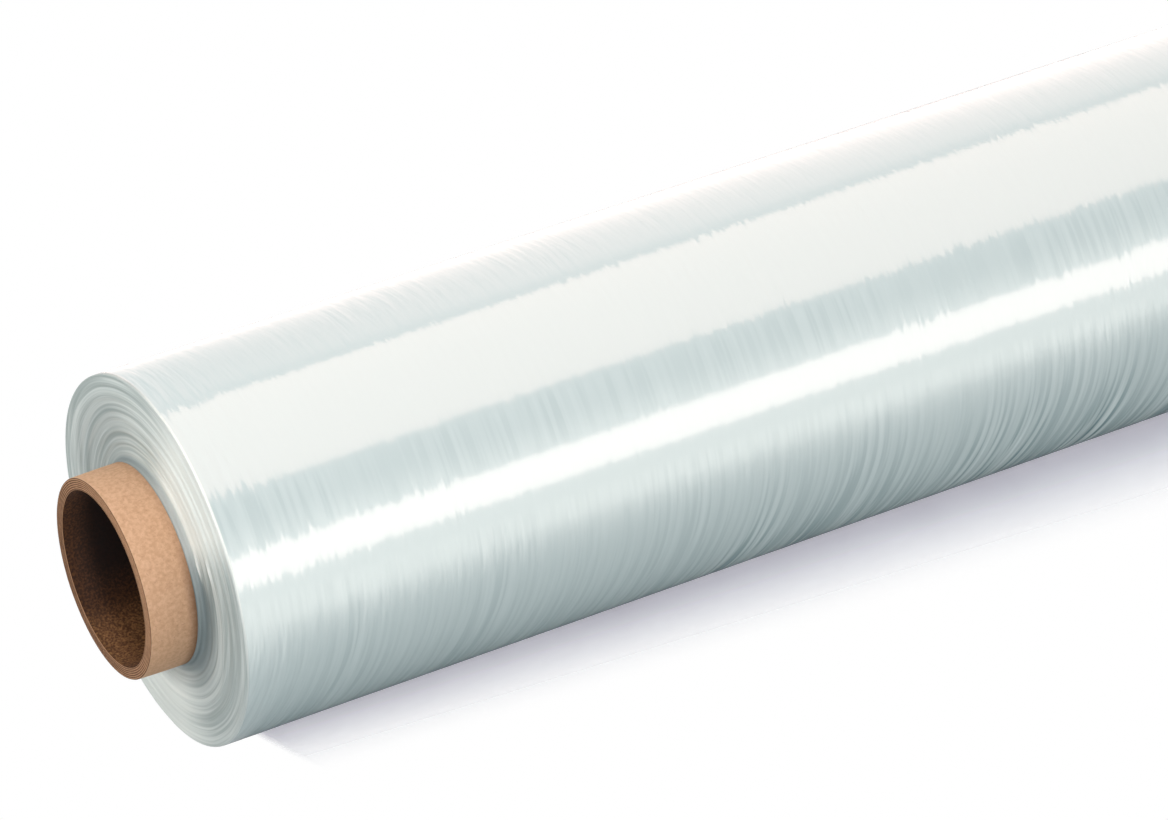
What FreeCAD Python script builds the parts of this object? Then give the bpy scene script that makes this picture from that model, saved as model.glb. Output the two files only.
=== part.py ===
import FreeCAD, Part
import math
import os

# A hand roll of clear stretch film, lying on its side.
# The roll's axis runs along X. The origin is on the floor, under the middle of the roll.

# Sizes of the roll, in millimetres
film_width = 500.0
film_radius = 53.5
bore_diameter = 50.8
core_wall = 3.6
core_overhang = 16.0
flat_depth = 0.5

# The winding's end faces: rings of turns that stand a little in or out
ring_count = 14
ring_stagger = 0.55
ring_unevenness = 0.45
rim_round = 1.8
rim_slopes = 3
lip_reach = 2.0
lip_thickness = 0.45

# The core's cut ends
core_edge_break = 0.3

# Values worked out from the sizes above
bore_radius = bore_diameter / 2
core_radius = bore_radius + core_wall
core_half = film_width / 2 + core_overhang
film_half = film_width / 2
axis_height = film_radius - flat_depth

# A turn of this angle spreads values evenly without repeating
golden_turn = math.pi * (3 - math.sqrt(5))


def section_point(x, radius):
    return FreeCAD.Vector(x, 0, radius)


def revolve_outline(points):
    """Turn a closed outline of straight sides about the roll's axis into one solid."""
    edges = []
    for start, end in zip(points, points[1:] + points[:1]):
        if start.distanceToPoint(end) > 1e-6:
            edges.append(Part.LineSegment(start, end).toShape())
    face = Part.Face(Part.Wire(edges))
    solid = face.revolve(FreeCAD.Vector(0, 0, 0), FreeCAD.Vector(1, 0, 0), 360)
    solid.translate(FreeCAD.Vector(0, 0, axis_height))
    return solid


def ring_radii(phase):
    """Radii at which one end face changes from ring to ring, from the lip to the rim."""
    widths = []
    for ring in range(ring_count):
        widths.append(1 + ring_unevenness * math.sin(2 * golden_turn * ring + phase))
    start = core_radius + lip_thickness
    scale = (film_radius - rim_round - start) / sum(widths)
    radii = [start]
    for width in widths:
        radii.append(radii[-1] + width * scale)
    return radii


def end_face_points(side, phase):
    """One end face from the core outwards: the lip, then the stepped rings, then the rim.

    side is -1 or 1 along X, and phase makes the two ends differ.
    """
    radii = ring_radii(phase)
    points = [
        section_point(side * (film_half + lip_reach), core_radius),
        section_point(side * (film_half + lip_reach), radii[0]),
    ]
    for ring in range(ring_count):
        inset = ring_stagger * (0.5 + 0.5 * math.sin(golden_turn * ring + phase))
        # The outermost ring is flush with the width of the film
        if ring == ring_count - 1:
            inset = 0.0
        points.append(section_point(side * (film_half - inset), radii[ring]))
        points.append(section_point(side * (film_half - inset), radii[ring + 1]))
    for slope in range(1, rim_slopes + 1):
        angle = 0.5 * math.pi * slope / rim_slopes
        x = film_half - rim_round + rim_round * math.cos(angle)
        radius = film_radius - rim_round + rim_round * math.sin(angle)
        points.append(section_point(side * x, radius))
    return points


def make_film_winding():
    """All turns of film as one solid, with a small flat where the roll rests."""
    left = end_face_points(-1, 0.4)
    right = end_face_points(1, 2.1)
    winding = revolve_outline(left + right[::-1])
    below_floor = Part.makeBox(2 * film_width, 4 * film_radius, film_radius)
    below_floor.translate(FreeCAD.Vector(-film_width, -2 * film_radius, -film_radius))
    return winding.cut(below_floor)


def make_core_tube():
    """The paper tube that the film is wound on, its end edges slightly broken."""
    bevel_radius = core_radius - core_edge_break
    bevel_half = core_half - core_edge_break
    return revolve_outline([
        section_point(-core_half, bore_radius),
        section_point(-core_half, bevel_radius),
        section_point(-bevel_half, core_radius),
        section_point(bevel_half, core_radius),
        section_point(core_half, bevel_radius),
        section_point(core_half, bore_radius),
    ])


nodes = {
    "core_tube": make_core_tube(),
    "film_winding": make_film_winding(),
}

os.makedirs("parts", exist_ok=True)
for name, shape in nodes.items():
    shape.exportStep("parts/" + name + ".step")
    print(name, "solids", len(shape.Solids), "valid", shape.isValid(), "cm3", round(shape.Volume / 1000, 1))
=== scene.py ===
import math

import bpy
from mathutils import Matrix, Vector


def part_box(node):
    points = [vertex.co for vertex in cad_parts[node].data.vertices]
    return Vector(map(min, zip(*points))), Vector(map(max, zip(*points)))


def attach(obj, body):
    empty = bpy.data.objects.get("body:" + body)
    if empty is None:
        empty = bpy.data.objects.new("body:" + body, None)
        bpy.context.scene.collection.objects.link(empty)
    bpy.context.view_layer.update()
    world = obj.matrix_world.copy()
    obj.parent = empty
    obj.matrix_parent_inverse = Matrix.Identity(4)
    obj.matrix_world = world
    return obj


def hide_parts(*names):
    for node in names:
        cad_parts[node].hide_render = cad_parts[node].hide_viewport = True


# Stretch film roll lying on its side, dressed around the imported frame

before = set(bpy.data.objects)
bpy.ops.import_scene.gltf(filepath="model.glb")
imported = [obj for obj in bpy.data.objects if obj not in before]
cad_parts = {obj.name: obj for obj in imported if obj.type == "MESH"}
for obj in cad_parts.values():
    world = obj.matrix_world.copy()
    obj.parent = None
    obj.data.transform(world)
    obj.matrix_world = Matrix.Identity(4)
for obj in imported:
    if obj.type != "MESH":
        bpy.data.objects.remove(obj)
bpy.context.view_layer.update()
scene = bpy.context.scene
mm = 0.001

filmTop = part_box("film_winding")[1].z
coreLow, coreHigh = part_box("core_tube")
roll = {
    "filmWidth": 500 * mm,
    "coreHalf": coreHigh.x,
    "coreRadius": (coreHigh.y - coreLow.y) / 2,
    "coreWall": 3.6 * mm,
    "axisHeight": (coreHigh.z + coreLow.z) / 2,
}
roll["filmHalf"] = roll["filmWidth"] / 2
roll["boreRadius"] = roll["coreRadius"] - roll["coreWall"]
roll["filmRadius"] = filmTop - roll["axisHeight"]
print("frame read, film radius", round(roll["filmRadius"] / mm, 1), "mm")


# Camera, at the photographed angle

view = {
    "place": Vector((-0.8437, -1.2791, 1.1457)),
    "azimuth": -29.64,
    "elevation": 36.54,
    "lens": 201.44,
}


def makeCamera():
    az, el = math.radians(view["azimuth"]), math.radians(view["elevation"])
    back = Vector((math.sin(az) * math.cos(el), -math.cos(az) * math.cos(el), math.sin(el)))
    right = Vector((math.cos(az), math.sin(az), 0))
    lens = bpy.data.cameras.new("viewCamera")
    lens.lens = view["lens"]
    lens.sensor_width = 36
    lens.clip_end = 60
    camera = bpy.data.objects.new("viewCamera", lens)
    turn = Matrix((right, back.cross(right), back)).transposed().to_4x4()
    camera.matrix_world = Matrix.Translation(view["place"]) @ turn
    scene.collection.objects.link(camera)
    scene.camera = camera


makeCamera()
print("camera set")


# Node trees written as expressions

class Wire:
    # one output socket; arithmetic on it adds Math nodes to its tree
    def __init__(self, graph, socket):
        self.graph = graph
        self.socket = socket

    def __add__(self, other):
        return self.graph.maths("ADD", self, other)

    def __radd__(self, other):
        return self.graph.maths("ADD", other, self)

    def __sub__(self, other):
        return self.graph.maths("SUBTRACT", self, other)

    def __rsub__(self, other):
        return self.graph.maths("SUBTRACT", other, self)

    def __mul__(self, other):
        return self.graph.maths("MULTIPLY", self, other)

    def __rmul__(self, other):
        return self.graph.maths("MULTIPLY", other, self)

    def __truediv__(self, other):
        return self.graph.maths("DIVIDE", self, other)

    def __pow__(self, other):
        return self.graph.maths("POWER", self, other)


class Graph:
    # a shader or geometry tree, filled by one node-making method
    def __init__(self, tree):
        self.tree = tree

    def node(self, kind, settings=None, sockets=None, out=0):
        # sockets by name or number: a wire is linked, any other value is set
        made = self.tree.nodes.new(kind)
        for key, value in (settings or {}).items():
            setattr(made, key, value)
        for key, value in (sockets or {}).items():
            target = made.inputs[key]
            if isinstance(value, Wire):
                self.tree.links.new(value.socket, target)
            elif value is not None:
                target.default_value = value
        return Wire(self, made.outputs[out]) if len(made.outputs) else made

    def maths(self, operation, a, b=None):
        return self.node("ShaderNodeMath", {"operation": operation}, {0: a, 1: b})

    def vector(self, operation, a, b=None):
        return self.node("ShaderNodeVectorMath", {"operation": operation}, {0: a, 1: b})

    def join(self, x, y, z):
        return self.node("ShaderNodeCombineXYZ", None, {0: x, 1: y, 2: z})

    def split(self, vector):
        parts = self.node("ShaderNodeSeparateXYZ", None, {0: vector})
        sockets = parts.socket.node.outputs
        return [Wire(self, sockets[i]) for i in range(3)]

    def field(self, along, y, up, pitch, arc, shift=0):
        # a place for a noise, with one size along the roll and another round it
        return self.join(along / pitch, y / arc + shift, up / arc)

    def noise(self, vector, scale=1.0, detail=2.0, rough=0.5):
        sockets = {"Vector": vector, "Scale": scale, "Detail": detail, "Roughness": rough}
        return self.node("ShaderNodeTexNoise", {"noise_dimensions": "3D"}, sockets)

    def ease(self, value, low, high, start=0.0, end=1.0):
        # smooth step from start to end as value goes from low to high
        settings = {"interpolation_type": "SMOOTHSTEP"}
        sockets = {0: value, 1: low, 2: high, 3: start, 4: end}
        return self.node("ShaderNodeMapRange", settings, sockets)

    def window(self, value, rise, fall):
        # goes up to 1 over the first pair of values and back down to 0 over the second
        return self.ease(value, *rise) * self.ease(value, fall[1], fall[0])

    def near(self, value, centre, reach):
        # 1 at the centre, 0 at its reach and beyond
        return self.ease(self.maths("ABSOLUTE", value - centre), reach, 0)

    def mix(self, factor, a, b, blend="MIX"):
        # colours only: sockets 6 and 7 are the Mix node's colour inputs
        settings = {"data_type": "RGBA", "blend_type": blend}
        return self.node("ShaderNodeMix", settings, {0: factor, 6: a, 7: b}, out=2)


def rgb(red, green, blue):
    # a screen colour, 0 to 255, as the linear one that a shader takes
    def linear(value):
        value = value / 255
        return value / 12.92 if value <= 0.04045 else ((value + 0.055) / 1.055) ** 2.4
    return (linear(red), linear(green), linear(blue), 1.0)


def newMaterial(name):
    material = bpy.data.materials.new(name)
    material.use_nodes = True
    material.node_tree.nodes.clear()
    return material, Graph(material.node_tree)


def finishMaterial(graph, sockets):
    # one Principled shader with the given sockets, linked to the output
    surface = graph.node("ShaderNodeBsdfPrincipled", None, sockets)
    graph.node("ShaderNodeOutputMaterial", None, {"Surface": surface})


class RollPlace:
    # where a shaded point is on the roll, in metres, and its bearing in degrees from the top to the front
    def __init__(self, graph):
        self.place = graph.node("ShaderNodeTexCoord", None, None, out="Object")
        self.x, self.y, z = graph.split(self.place)
        self.up = z - roll["axisHeight"]
        self.radius = graph.maths("SQRT", self.y * self.y + self.up * self.up)
        self.bearing = graph.maths("ARCTAN2", 0 - self.y, self.up) * math.degrees(1)
        self.side = graph.maths("ABSOLUTE", self.x)
        self.end = graph.maths("SIGN", self.x)


# Building a piece from a geometry tree

class PieceTree(Graph):
    def __init__(self, name):
        super().__init__(bpy.data.node_groups.new(name, "GeometryNodeTree"))
        self.tree.interface.new_socket("Geometry", in_out="OUTPUT", socket_type="NodeSocketGeometry")
        self.inputNode = self.tree.nodes.new("NodeGroupInput")
        self.values = {}

    def ask(self, name, value, kind="NodeSocketFloat"):
        # a named input of the tree, and the value that the modifier gives it
        socket = self.tree.interface.new_socket(name, in_out="INPUT", socket_type=kind)
        self.values[socket.identifier] = value
        found = [s for s in self.inputNode.outputs if s.identifier == socket.identifier]
        return Wire(self, found[0])

    def askAll(self, sizes):
        return {name: self.ask(name, value) for name, value in sizes.items()}

    def build(self, name, geometry, material):
        chosen = self.ask("Material", material, "NodeSocketMaterial")
        real = self.node("GeometryNodeRealizeInstances", None, {0: geometry})
        done = self.node("GeometryNodeSetMaterial", None, {"Geometry": real, "Material": chosen})
        self.node("NodeGroupOutput", None, {0: done})
        piece = bpy.data.objects.new(name, bpy.data.meshes.new(name))
        scene.collection.objects.link(piece)
        modifier = piece.modifiers.new("tree", "NODES")
        modifier.node_group = self.tree
        for identifier, value in self.values.items():
            modifier[identifier] = value
        bpy.context.view_layer.update()
        shown = piece.evaluated_get(bpy.context.evaluated_depsgraph_get())
        mesh = bpy.data.meshes.new_from_object(shown)
        piece.modifiers.remove(modifier)
        piece.data = mesh
        mesh.name = name
        return piece

    def section(self, rows, around):
        # a flat grid whose rows follow a section and whose columns go once round the axis:
        # the grid, how far along each stretch of rows a point is, from 0 to 1, and its turn
        columns = around + 1
        sockets = {"Vertices X": sum(rows.values()) + 1, "Vertices Y": columns}
        grid = self.node("GeometryNodeMeshGrid", None, sockets)
        index = self.node("GeometryNodeInputIndex")
        row = self.maths("FLOOR", (index + 0.5) / columns)
        stages, first = {}, 0
        for name, count in rows.items():
            stages[name] = self.node("ShaderNodeClamp", None, {"Value": (row - first) / count})
            first += count
        return grid, stages, (index - row * columns) * (2 * math.pi / around)

    def wrap(self, grid, x, radius, turn, axisHeight, floorLevel=None):
        # rolls the grid up round the axis, closes it where its edges meet and turns its faces outwards
        y = self.maths("SINE", turn) * radius
        z = axisHeight - self.maths("COSINE", turn) * radius
        if floorLevel is not None:
            z = self.maths("MAXIMUM", z, floorLevel)
        sockets = {"Geometry": grid, "Position": self.join(x, y, z)}
        placed = self.node("GeometryNodeSetPosition", None, sockets)
        sockets = {"Geometry": placed, "Distance": 0.004 * mm}
        merged = self.node("GeometryNodeMergeByDistance", None, sockets)
        outwards = self.node("GeometryNodeFlipFaces", None, {"Mesh": merged})
        return self.node("GeometryNodeSetShadeSmooth", None, {"Geometry": outwards})


def dress(piece, node):
    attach(piece, "root")
    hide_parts(node)


# The wound film: a pitch is a size along the roll or across its turns, an arc one round it

film = {
    # how many rows of faces each stretch of the section has, and columns round the roll
    "rows": {"leftLip": 10, "leftFace": 56, "leftRim": 6, "outside": 700,
             "rightRim": 6, "rightFace": 56, "rightLip": 10, "back": 1},
    "around": 112,
    # form
    "rimRound": 1.0 * mm,
    "lipReach": 2.0 * mm,
    "lipThickness": 0.45 * mm,
    "lipFillet": 0.9 * mm,
    "ringPitch": 1.7 * mm,
    "ringStagger": 0.55 * mm,
    "standOut": 1.8 * mm,
    "standOutFrom": (36 * mm, 52 * mm),
    "standOutTurn": (115, 80),
    "foldHeight": 0.4 * mm,
    # each fold's radius, half width, bearing and half arc in degrees
    "folds": ((31.0 * mm, 1.0 * mm, 59, 10), (37.6 * mm, 0.9 * mm, 61, 8)),
    "rippleHeight": 0.045 * mm,
    "ripplePitch": 3.4 * mm,
    "rippleArc": 26 * mm,
    "rippleLean": 9 * mm,
    "leanReach": 4.08 * mm,
    "leanPitch": 40 * mm,
    "leanArc": 45.45 * mm,
    "waveHeight": 0.02 * mm,
    "wavePitch": 38 * mm,
    "waveArc": 111.1 * mm,
    # how creased it is
    "calm": 0.55,
    "clusterGain": 0.5,
    "clusterPitch": 45.45 * mm,
    "clusterArc": 50 * mm,
    "middleGain": 0.15,
    "middleFrom": (-130 * mm, 0.0),
    "lowGain": 0.5,
    "lowFrom": (12 * mm, -20 * mm),
    "leanFrom": (10 * mm, -50 * mm),
    "endGain": 0.45,
    "endReach": 26 * mm,
    "creasePitch": 1.8 * mm,
    "creaseArc": 14 * mm,
    "creaseHeight": 0.16 * mm,
    "toothPitch": 0.85 * mm,
    "toothArc": 18 * mm,
    "toothTilt": 0.058,
    "combPitch": 1.2 * mm,
    "combTilt": 0.022,
    # bearings of the bright bands that the lamps lay along it
    "wideBandEdge": (37, 42),
    "narrowBand": ((52, 57), (69, 74)),
    "narrowBandCalm": 0.45,
    "narrowBandEnds": (238 * mm, 215 * mm),
    # streaks round the outside
    "streakPitch": 1.9 * mm,
    "streakArc": 60 * mm,
    "bunchPitch": 25 * mm,
    "bunchArc": 83.33 * mm,
    "streaksDown": (12 * mm, -45 * mm),
    "streaksRight": (-200 * mm, 30 * mm),
    "faintStreaks": 0.09,
    # turns on the end faces
    "wobble": 1.6 * mm,
    "wobbleArc": 22.22 * mm,
    "turnPitch": 1.25 * mm,
    "ridgePitch": 1.1111 * mm,
    "turnArc": 100 * mm,
    "crossPitch": 1.923 * mm,
    "crossArc": 71.43 * mm,
    "crossCentre": (3 * mm, 5 * mm),
    # bearings between which the end faces get a painted highlight, or painted shade
    "highlightFan": ((-8, 22), (46, 64)),
    "lowHighlightFan": (135, 170),
    "frontShade": ((48, 78), (125, 165)),
    "backShade": ((-115, -80), (-40, -5)),
    # finish
    "shine": 0.11,
    "faceDullness": 0.45,
    "shineIor": 1.52,
    "colour": rgb(204, 215, 214),
    "streakColour": rgb(98, 130, 136),
    "streakPale": rgb(236, 243, 242),
    "faceDark": rgb(164, 173, 170),
    "faceLight": rgb(226, 230, 226),
    # a painted highlight colour, then a painted shade colour, for the end faces
    "facePaintedHighlight": rgb(246, 247, 241),
    "faceShade": rgb(108, 120, 122),
    # a painted glint for the folds
    "foldGlint": rgb(252, 253, 250),
}


def unrest(graph, x, y, up):
    # how strongly the film is creased: in clusters, near the ends and over the right half, more so low down
    place = graph.field(x, y, up, film["clusterPitch"], film["clusterArc"])
    cluster = graph.ease(graph.noise(place, detail=1), 0.50, 0.68)
    side = graph.maths("ABSOLUTE", x)
    nearEnd = graph.ease(side, roll["filmHalf"] - film["endReach"], roll["filmHalf"])
    middle = graph.ease(x, *film["middleFrom"])
    low = graph.ease(up, *film["lowFrom"]) * film["lowGain"] + film["middleGain"]
    return film["calm"] + cluster * film["clusterGain"] + nearEnd * film["endGain"] + middle * low


def slanted(graph, x, up):
    # creases lean over along the roll as they come down its front
    return x + graph.ease(up, *film["leanFrom"]) * film["rippleLean"]


def folds(graph, x, radius, bearing):
    # short folds that stand off the left end, low down beside the core
    total = 0
    for foldRadius, halfWidth, foldBearing, halfArc in film["folds"]:
        fold = graph.near(radius, foldRadius, halfWidth) * graph.near(bearing, foldBearing, halfArc)
        total = fold + total
    return total * graph.maths("LESS_THAN", x, 0.0)


def outsideTone(g, p, along, narrowBand):
    # darker and paler streaks run round the roll in bunches, strongest low on its front and to the right
    streak = g.noise(g.field(along, p.y, p.up, film["streakPitch"], film["streakArc"]), detail=1.5)
    bunch = g.noise(g.field(along, p.y, p.up, film["bunchPitch"], film["bunchArc"]), detail=1)
    strong = g.ease(p.up, *film["streaksDown"]) * g.ease(p.x, *film["streaksRight"], 0.25, 1.0)
    # faint ones start at the lower edge of the wide bright band and stay out of the narrow one
    faint = g.ease(p.bearing, *film["wideBandEdge"]) * (1 - narrowBand) * film["faintStreaks"]
    share = (strong + faint) * g.ease(bunch, 0.42, 0.62, 0.35, 1.0)
    tone = g.mix(g.ease(streak, 0.47, 0.59) * share, film["colour"], film["streakColour"])
    return g.mix(g.ease(streak, 0.46, 0.33) * share, tone, film["streakPale"])


def faceTone(g, p, wavered):
    # the turns show as rings, and a second set of lines crosses them off centre
    offY, offUp = p.y - film["crossCentre"][0], p.up - film["crossCentre"][1]
    offRadius = g.maths("SQRT", offY * offY + offUp * offUp)
    turns = g.noise(g.field(wavered, p.y, p.up, film["turnPitch"], film["turnArc"]), detail=3, rough=0.6)
    crossing = g.noise(g.field(offRadius, p.y, p.up, film["crossPitch"], film["crossArc"]))
    rings = turns * 0.65 + crossing * 0.35
    tone = g.mix(g.ease(rings, 0.36, 0.64), film["faceDark"], film["faceLight"])
    # painted highlight in fans, where the wound edges would catch the light: a pale one up at the front and
    # a weaker one below
    pale = g.window(p.bearing, *film["highlightFan"]) * 0.85
    pale = pale + g.ease(g.maths("ABSOLUTE", p.bearing), *film["lowHighlightFan"]) * 0.8
    tone = g.mix(pale, tone, film["facePaintedHighlight"])
    # between them it is shaded, most of all beside the core, and so it is at the back
    frontShade = g.window(p.bearing, *film["frontShade"]) * g.ease(p.radius, 40 * mm, 30 * mm, 0.3, 1.0)
    backShade = g.window(p.bearing, *film["backShade"]) * g.ease(p.radius, 52 * mm, 42 * mm)
    coreShade = g.ease(p.radius, 31 * mm, 29.2 * mm)
    for share in (frontShade, backShade * 0.4, coreShade * 0.75):
        tone = g.mix(share, tone, film["faceShade"])
    # the folds get a painted glint, near white
    return g.mix(folds(g, p.x, p.radius, p.bearing) * 0.9, tone, film["foldGlint"])


def creasedNormal(g, p, along, strength):
    # fine creases tilt the surface up and down its curve, which frays the edges of what it mirrors
    tooth = g.noise(g.field(along, p.y, p.up, film["toothPitch"], film["toothArc"]))
    comb = g.noise(g.field(along, p.y, p.up, film["combPitch"], film["toothArc"], 7), detail=1)
    tilt = (tooth - 0.5) * 2 * film["toothTilt"]
    tilt = tilt + (g.ease(comb, 0.56, 0.7) - g.ease(comb, 0.44, 0.3)) * film["combTilt"]
    tilt = tilt * strength / p.radius
    normal = g.node("ShaderNodeNewGeometry", None, None, out="Normal")
    return g.vector("NORMALIZE", g.vector("ADD", normal, g.join(0.0, 0 - p.up * tilt, p.y * tilt)))


def makeFilmMaterial():
    material, g = newMaterial("woundFilm")
    p = RollPlace(g)
    onFace = g.ease(p.side, roll["filmHalf"] - 1.2 * mm, roll["filmHalf"] - 0.5 * mm)
    onOutside = 1 - onFace
    along = slanted(g, p.x, p.up)
    restless = unrest(g, p.x, p.y, p.up)
    narrowBand = g.window(p.bearing, *film["narrowBand"])
    wobble = g.noise(g.field(p.end * 0.3, p.y, p.up, 1, film["wobbleArc"]), detail=1)
    wavered = p.radius + wobble * film["wobble"]
    tone = g.mix(onFace, outsideTone(g, p, along, narrowBand), faceTone(g, p, wavered))
    # the film is smoother where the narrow band falls on it, away from the ends
    steady = narrowBand * g.ease(p.side, *film["narrowBandEnds"]) * film["narrowBandCalm"]
    tilted = creasedNormal(g, p, along, restless * (1 - steady) * onOutside)
    fine = g.noise(g.field(along, p.y, p.up, film["creasePitch"], film["creaseArc"]), detail=1.5)
    ridges = g.noise(g.field(wavered, p.y, p.up, film["ridgePitch"], film["turnArc"]), detail=3, rough=0.6)
    height = (fine - 0.5) * restless * onOutside + ridges * onFace
    bump = g.node("ShaderNodeBump", None, {
        "Strength": 1.0, "Distance": film["creaseHeight"], "Height": height, "Normal": tilted,
    })
    finishMaterial(g, {
        "Base Color": tone, "Roughness": film["shine"] + onFace * film["faceDullness"],
        "Normal": bump, "IOR": film["shineIor"],
    })
    return material


def filmSection(t, size, stage):
    # a lip, the left face and its rim, the outside, the same again, and back along the core
    width, rim = size["Width"], size["Rim Round"]
    leftBend, rightBend = stage["leftRim"] * (math.pi / 2), stage["rightRim"] * (math.pi / 2)
    x = width * -0.5 + rim * (1 - t.maths("COSINE", leftBend)) + (width - 2 * rim) * stage["outside"]
    x = x + rim * t.maths("SINE", rightBend) - (width + 2 * size["Lip Reach"]) * stage["back"]
    x = x + size["Lip Reach"] * (stage["rightLip"] ** 1.7 - (1 - stage["leftLip"]) ** 1.7)
    faceHeight = size["Film Radius"] - rim - size["Core Radius"]
    faceHeight = faceHeight - size["Lip Thickness"] - size["Lip Fillet"]
    radius = size["Core Radius"] + faceHeight * (stage["leftFace"] - stage["rightFace"])
    radius = radius + rim * (t.maths("SINE", leftBend) + t.maths("COSINE", rightBend) - 1)
    offLip = stage["leftLip"] * (1 - stage["rightLip"])
    radius = radius + size["Lip Thickness"] * t.ease(offLip, 0.0, 0.25) + size["Lip Fillet"] * offLip ** 3.5
    return x, radius


def staggered(t, size, stage, x, radius, turn, across, over):
    # turns on the end faces stand a little in and out, and each end has its own pattern
    end = t.maths("SIGN", x)
    place = t.join(radius / film["ringPitch"], across * 0.7 + end * 9, over * 0.7)
    ring = t.noise(place, detail=2.5, rough=0.6)
    onFace = t.ease(stage["leftFace"], 0.02, 0.1) * (1 - t.ease(stage["leftRim"], 0, 0.6))
    onFace = onFace + t.ease(stage["rightRim"], 0.4, 1) * (1 - t.ease(stage["rightFace"], 0.9, 0.98))
    x = x - end * size["Ring Stagger"] * onFace * t.ease(ring, 0.25, 0.75)
    # the outer turns stand out a little at the back of the left end, and two folds lower down
    middle, reach = (math.radians(angle) for angle in film["standOutTurn"])
    outer = t.ease(radius, *film["standOutFrom"]) * (1 - t.ease(stage["outside"], 0, 0.03))
    x = x - size["Stand Out"] * t.near(turn, middle, reach) * outer
    return x - size["Fold Height"] * folds(t, x, radius, turn * math.degrees(1) - 180)


def rippled(t, size, x, across, over):
    # fine ripples and slow waves run round the outside
    y, up = across * size["Film Radius"], over * size["Film Radius"] * -1
    lean = t.noise(t.field(x, y, up, film["leanPitch"], film["leanArc"]), detail=1)
    along = slanted(t, x, up) + lean * film["leanReach"]
    ripple = t.noise(t.field(along, y, up, film["ripplePitch"], film["rippleArc"]), detail=1.5)
    wave = t.noise(t.field(x, y, up, film["wavePitch"], film["waveArc"]), detail=1)
    lift = (ripple - 0.5) * 2 * size["Ripple Height"] * unrest(t, x, y, up)
    return lift + (wave - 0.5) * 2 * size["Wave Height"]


def makeFilm():
    t = PieceTree("filmTree")
    size = t.askAll({
        "Width": roll["filmWidth"],
        "Core Radius": roll["coreRadius"],
        "Film Radius": roll["filmRadius"],
        "Axis Height": roll["axisHeight"],
        "Rim Round": film["rimRound"],
        "Ring Stagger": film["ringStagger"],
        "Stand Out": film["standOut"],
        "Fold Height": film["foldHeight"],
        "Ripple Height": film["rippleHeight"],
        "Wave Height": film["waveHeight"],
        "Lip Reach": film["lipReach"],
        "Lip Thickness": film["lipThickness"],
        "Lip Fillet": film["lipFillet"],
    })
    grid, stage, turn = t.section(film["rows"], film["around"])
    across, over = t.maths("SINE", turn), t.maths("COSINE", turn)
    x, radius = filmSection(t, size, stage)
    x = staggered(t, size, stage, x, radius, turn, across, over)
    onOutside = stage["leftRim"] * (1 - stage["rightRim"])
    radius = radius + rippled(t, size, x, across, over) * onOutside
    body = t.wrap(grid, x, radius, turn, size["Axis Height"], floorLevel=0.0)
    return t.build("woundFilm", body, makeFilmMaterial())


filmPiece = makeFilm()
dress(filmPiece, "film_winding")
print("film wound,", len(filmPiece.data.polygons), "faces")


# The paper core

core = {
    "rows": {"leftEnd": 24, "outside": 60, "rightEnd": 24, "bore": 60},
    "around": 128,
    "plies": 6,
    "plyDepth": 0.10 * mm,
    "endBreak": 0.3 * mm,
    "seamPitch": 95 * mm,
    "seamDepth": 0.08 * mm,
    "grain": 0.08 * mm,
    "fibrePitch": 1.6667 * mm,
    "fibreArc": 7.143 * mm,
    "mottleScale": 900,
    "speckScale": 1500,
    # where the painted shade line beside the film falls on the core, and the bearings at which it is
    # deepest
    "contactFrom": (255.5 * mm, 250.5 * mm),
    "contactFront": ((30, 80), (140, 175)),
    "light": rgb(214, 171, 138),
    "dark": rgb(197, 154, 119),
    "speck": rgb(150, 105, 74),
    "cutDark": rgb(92, 60, 40),
    "cutLight": rgb(184, 138, 104),
    "boreDark": rgb(74, 44, 22),
    "boreLight": rgb(140, 96, 58),
    # the colour of the painted shade line beside the film, then painted shade multiplied over the bore
    "contactShade": rgb(84, 50, 26),
    "boreShade": (0.33, 0.26, 0.19, 1),
    "deepBoreShade": (0.1, 0.05, 0.03, 1),
}


def boreTone(g, p):
    # painted shade darkens the bore away from its lowest line, and more so farther in
    blotch = g.ease(g.noise(p.place, scale=core["speckScale"], detail=3), 0.35, 0.75)
    tone = g.mix(blotch, core["boreDark"], core["boreLight"])
    tone = g.mix(g.ease(p.up, -roll["boreRadius"], -20 * mm), tone, core["boreShade"], "MULTIPLY")
    depth = roll["coreHalf"] - p.side
    deep = g.ease(depth, -1 * mm, 11 * mm) * g.ease(p.up, -25 * mm, -12 * mm)
    return g.mix(deep, tone, core["deepBoreShade"], "MULTIPLY")


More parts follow.
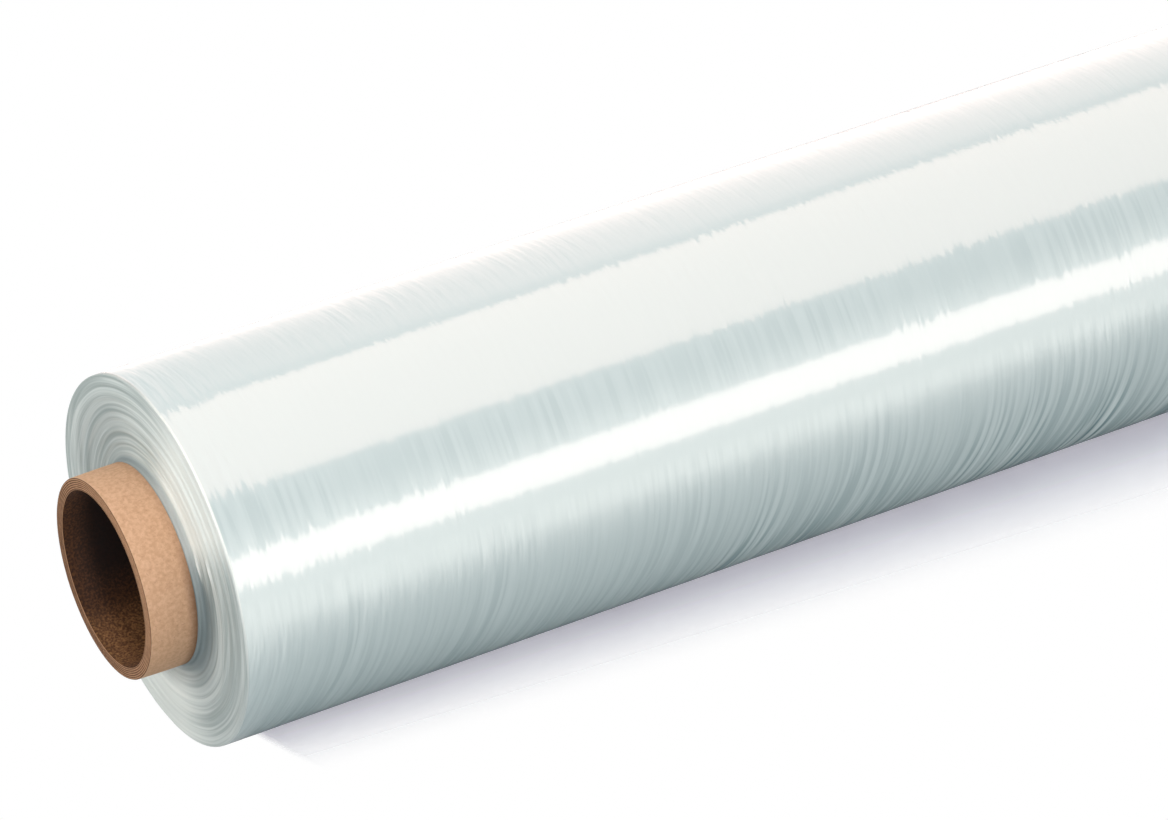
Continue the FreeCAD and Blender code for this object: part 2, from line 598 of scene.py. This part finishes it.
def makeCoreMaterial():
    material, g = newMaterial("corePaper")
    p = RollPlace(g)
    mottle = g.noise(p.place, scale=core["mottleScale"], detail=3, rough=0.6)
    speck = g.noise(p.place, scale=core["speckScale"])
    fibre = g.noise(g.field(p.x, p.y, p.up, core["fibrePitch"], core["fibreArc"]), detail=3)
    tone = g.mix(g.ease(mottle, 0.3, 0.7), core["dark"], core["light"])
    tone = g.mix(g.ease(speck, 0.55, 0.8) * 0.35, tone, core["speck"])
    # plies show on the cut end as lighter and darker rings
    onEnd = g.ease(p.side, roll["coreHalf"] - 0.25 * mm, roll["coreHalf"] - 0.1 * mm)
    ply = g.maths("SINE", p.radius * (2 * math.pi * core["plies"] / roll["coreWall"]))
    cut = g.mix(g.ease(ply + (mottle - 0.5) * 2, -0.8, 0.8), core["cutDark"], core["cutLight"])
    tone = g.mix(onEnd, tone, cut)
    inside = 1 - g.ease(p.radius, roll["boreRadius"] + 0.05 * mm, roll["boreRadius"] + 0.15 * mm)
    tone = g.mix(inside * (1 - onEnd), tone, boreTone(g, p))
    # painted shade: a dark line where the film stands on the core, deepest down at the front
    below = g.window(p.bearing, *core["contactFront"])
    contactShade = g.ease(p.side, *core["contactFrom"]) * (below * 0.7 + 0.3)
    tone = g.mix(contactShade * (1 - inside), tone, core["contactShade"])
    height = mottle * 0.6 + fibre * 0.4
    bump = g.node("ShaderNodeBump", None, {"Strength": 0.5, "Distance": core["grain"], "Height": height})
    finishMaterial(g, {
        "Base Color": tone, "Roughness": 0.72 + mottle * 0.15, "Normal": bump, "Specular IOR Level": 0.2,
    })
    return material


def makeCore():
    t = PieceTree("coreTree")
    size = t.askAll({
        "Half Length": roll["coreHalf"],
        "Outside Radius": roll["coreRadius"],
        "Wall": roll["coreWall"],
        "Axis Height": roll["axisHeight"],
        "End Break": core["endBreak"],
        "Ply Depth": core["plyDepth"],
        "Seam Depth": core["seamDepth"],
    })
    # the section: left end, outside, right end, back through the bore
    grid, stage, turn = t.section(core["rows"], core["around"])
    outside, bore = stage["outside"], stage["bore"]
    across = stage["leftEnd"] - stage["rightEnd"]
    x = size["Half Length"] * (2 * (outside - bore) - 1)
    radius = size["Outside Radius"] - size["Wall"] * (1 - across)
    # the cut plies stand unevenly, and the outer edge is slightly broken
    end = t.maths("SIGN", x)
    onEnd = t.ease(across, 0.0, 0.08) * (1 - t.ease(outside, 0, 0.02) * (1 - t.ease(outside, 0.98, 1)))
    ply = t.maths("SINE", across * (2 * math.pi * core["plies"])) * 0.5 + 0.5
    worn = t.ease(across, 0.88, 1.0)
    fray = t.noise(t.join(across * 8, t.maths("SINE", turn) * 9 + end * 5, t.maths("COSINE", turn) * 9))
    x = x - end * onEnd * (size["Ply Depth"] * ply * fray * 1.6 + size["End Break"] * worn * worn)
    radius = radius - onEnd * worn * size["End Break"] * 0.6
    # the outer ply's spiral seam is a shallow groove
    seam = t.maths("FRACT", x / core["seamPitch"] + turn / (2 * math.pi))
    radius = radius - t.near(seam, 0.5, 0.012) * outside * (1 - bore) * size["Seam Depth"]
    body = t.wrap(grid, x, radius, turn, size["Axis Height"])
    return t.build("paperCore", body, makeCoreMaterial())


corePiece = makeCore()
dress(corePiece, "core_tube")
print("core made,", len(corePiece.data.polygons), "faces")


# Floor, world and lamps

studio = {
    "floorRadius": 0.9,
    "floorColour": (0.92, 0.92, 0.94, 1),
    "floorBounce": (0.42, 0.43, 0.46, 1),
    "floorLift": (0.27, 0.24, 0.29, 1),
    # how far from the axis the floor gives way to the world, seen directly and in the film
    "seenFade": (0.020, 0.051),
    "mirroredFade": (0.05, 0.30),
    # the shadow widens along the roll and ends soon past its ends
    "shadeGrowth": 1.4,
    "shadeWidth": 1.21,
    "shadeLeast": 0.8,
    "shadeHalf": 0.235,
    "shadeSkew": 0.3,
    "endHaste": 9.0,
    "backdrop": 1.0,
    "worldFill": (0.86, 0.99, 1.0, 1),
    "fillStrength": 0.60,
}

# angles are degrees from straight up, over towards the viewer's side, seen from the roll's axis;
# a lamp rises over its first pair of angles and falls over its second, and rises along X over "opens";
# "shows" says whether it is for the reflections in the film or for the light on rough surfaces
lamps = {
    "overheadBox": {"from": (-36.6, -36.6), "to": (26.4, 26.4), "away": 1.0, "middle": 0.35, "length": 2.2,
                    "glow": 4.7, "tint": (1.0, 0.71, 0.60), "shows": "gloss"},
    "frontStrip": {"from": (61.4, 61.4), "to": (80.4, 80.4), "away": 1.1, "middle": 0.35, "length": 2.4,
                   "glow": 5.6, "tint": (1.0, 0.79, 0.73), "shows": "gloss"},
    "frontHalo": {"from": (40, 68), "to": (104, 144), "away": 1.15, "middle": 0.35, "length": 2.4,
                  "glow": 3.9, "tint": (1.0, 0.95, 0.88), "shows": "gloss"},
    "lowGlow": {"from": (90, 93), "to": (98, 130), "away": 1.2, "middle": 0.35, "length": 2.4,
                "glow": 0.9, "tint": (1.0, 0.96, 0.86), "shows": "gloss"},
    "backPanel": {"from": (-142, -114), "to": (-52, -33), "away": 1.5, "middle": 0.5, "length": 3.2,
                  "opens": (-0.1, 0.8), "glow": 2.1, "tint": (1.0, 0.69, 0.62), "shows": "gloss"},
    "topKey": {"from": (-52, -52), "to": (12, 12), "away": 1.3, "middle": 0.1, "length": 2.0,
               "glow": 0.65, "tint": (1.0, 0.97, 0.98), "shows": "rough"},
    "frontKey": {"from": (22, 22), "to": (72, 72), "away": 1.2, "middle": 0.0, "length": 1.4,
                 "glow": 0.66, "tint": (1.0, 0.52, 0.52), "shows": "rough", "offFloor": True},
    "lowKey": {"from": (70, 70), "to": (90, 90), "away": 1.2, "middle": 0.0, "length": 1.4,
               "glow": 1.1, "tint": (0.70, 1.0, 1.0), "shows": "rough", "offFloor": True},
}

# a soft lamp off the left end, for the cut end of the roll
endLamp = {
    "toward": Vector((-0.83, -0.30, 0.47)),
    "away": 1.1,
    "size": 0.35,
    "glow": 15.5,
    "tint": (1.0, 0.98, 0.96),
}

rollOnly = bpy.data.collections.new("rollOnly")
for piece in (filmPiece, corePiece):
    rollOnly.objects.link(piece)


def shadeLamp(panel, lamp):
    # lets a panel's glow rise and fall across it
    panel.use_nodes = True
    panel.node_tree.nodes.clear()
    g = Graph(panel.node_tree)
    x, y, z = g.split(g.node("ShaderNodeNewGeometry", None, None, out="Position"))
    strength = g.ease(x, *lamp.get("opens", (-9, -8)))  # open all along where the lamp gives no range
    if lamp["from"][0] != lamp["from"][1]:
        angle = g.maths("ARCTAN2", 0 - y, z - roll["axisHeight"]) * math.degrees(1)
        strength = strength * g.window(angle, lamp["from"], lamp["to"])
    light = g.node("ShaderNodeEmission", None, {"Strength": strength})
    g.node("ShaderNodeOutputLight", None, {"Surface": light})


def makeLamp(name, lamp):
    first, last = lamp["from"][0], lamp["to"][1]
    angle = math.radians((first + last) / 2)
    outward = Vector((0, -math.sin(angle), math.cos(angle)))
    along = Vector((1, 0, 0))
    width = 2 * lamp["away"] * math.tan(math.radians((last - first) / 2))
    panel = bpy.data.lights.new(name, "AREA")
    panel.shape = "RECTANGLE"
    panel.size = lamp["length"]
    panel.size_y = width
    panel.color = lamp["tint"]
    panel.energy = lamp["glow"] * math.pi * lamp["length"] * width
    if first != lamp["from"][1] or "opens" in lamp:
        shadeLamp(panel, lamp)
    holder = bpy.data.objects.new(name, panel)
    turn = Matrix((along, outward.cross(along), outward)).transposed().to_4x4()
    place = outward * lamp["away"] + Vector((lamp["middle"], 0, roll["axisHeight"]))
    holder.matrix_world = Matrix.Translation(place) @ turn
    if lamp.get("offFloor"):
        holder.light_linking.receiver_collection = rollOnly
    holder.visible_camera = False
    holder.visible_glossy = lamp["shows"] == "gloss"
    holder.visible_diffuse = lamp["shows"] == "rough"
    scene.collection.objects.link(holder)


def makeEndLamp():
    target = Vector((-roll["filmHalf"], 0, roll["axisHeight"]))
    outward = endLamp["toward"].normalized()
    panel = bpy.data.lights.new("endLamp", "AREA")
    panel.shape = "DISK"
    panel.size = endLamp["size"]
    panel.color = endLamp["tint"]
    panel.energy = endLamp["glow"] * math.pi * math.pi * endLamp["size"] ** 2 / 4
    holder = bpy.data.objects.new("endLamp", panel)
    turn = outward.to_track_quat("Z", "Y").to_matrix().to_4x4()
    holder.matrix_world = Matrix.Translation(target + outward * endLamp["away"]) @ turn
    holder.visible_camera = False
    holder.light_linking.receiver_collection = rollOnly
    scene.collection.objects.link(holder)


def shownRays(g):
    # 1 where the camera or clear film looks, 1 where a reflection looks, both 0 for light that only bounces
    rays = g.node("ShaderNodeLightPath", None, None, out="Is Camera Ray")
    outputs = rays.socket.node.outputs
    direct = g.maths("MAXIMUM", rays, Wire(g, outputs["Is Transmission Ray"]))
    return direct, Wire(g, outputs["Is Glossy Ray"]) * (1 - direct)


def makeFloorMaterial():
    # it gives way to the white world, close by where it is seen and farther out in the film's reflections
    material, g = newMaterial("floorPaint")
    direct, mirrored = shownRays(g)
    p = RollPlace(g)
    skewed = g.maths("ABSOLUTE", p.x + p.y * studio["shadeSkew"])
    past = g.maths("MAXIMUM", skewed - studio["shadeHalf"], 0.0) * studio["endHaste"]
    spread = g.maths("MAXIMUM", p.x * studio["shadeGrowth"] + studio["shadeWidth"], studio["shadeLeast"])
    reach = g.maths("SQRT", past * past + p.y * p.y) / spread
    fade = direct * g.ease(reach, *studio["seenFade"]) + mirrored * g.ease(reach, *studio["mirroredFade"])
    finishMaterial(g, {
        "Base Color": g.mix(direct, studio["floorBounce"], studio["floorColour"]),
        "Roughness": 0.9, "Specular IOR Level": 0.1, "Alpha": 1 - fade,
        "Emission Color": g.mix(direct, (0, 0, 0, 1), studio["floorLift"]), "Emission Strength": 1.0,
    })
    return material


def makeFloor():
    mesh = bpy.data.meshes.new("floor")
    radius, steps = studio["floorRadius"], 64
    corners = []
    for step in range(steps):
        angle = 2 * math.pi * step / steps
        corners.append((radius * math.cos(angle), radius * math.sin(angle), 0))
    mesh.from_pydata(corners, [], [tuple(range(steps))])
    floor = bpy.data.objects.new("floor", mesh)
    scene.collection.objects.link(floor)
    mesh.materials.append(makeFloorMaterial())


def makeWorld():
    world = bpy.data.worlds.new("studioWorld")
    scene.world = world
    world.use_nodes = True
    world.node_tree.nodes.clear()
    g = Graph(world.node_tree)
    direct, mirrored = shownRays(g)
    shown = direct + mirrored
    colour = g.mix(shown, studio["worldFill"], (1, 1, 1, 1))
    strength = studio["fillStrength"] + shown * (studio["backdrop"] - studio["fillStrength"])
    light = g.node("ShaderNodeBackground", None, {"Color": colour, "Strength": strength})
    g.node("ShaderNodeOutputWorld", None, {"Surface": light})


makeFloor()
makeWorld()
for lampName, lampSpec in lamps.items():
    makeLamp(lampName, lampSpec)
makeEndLamp()
scene.view_settings.view_transform = "Standard"
print("studio lit")
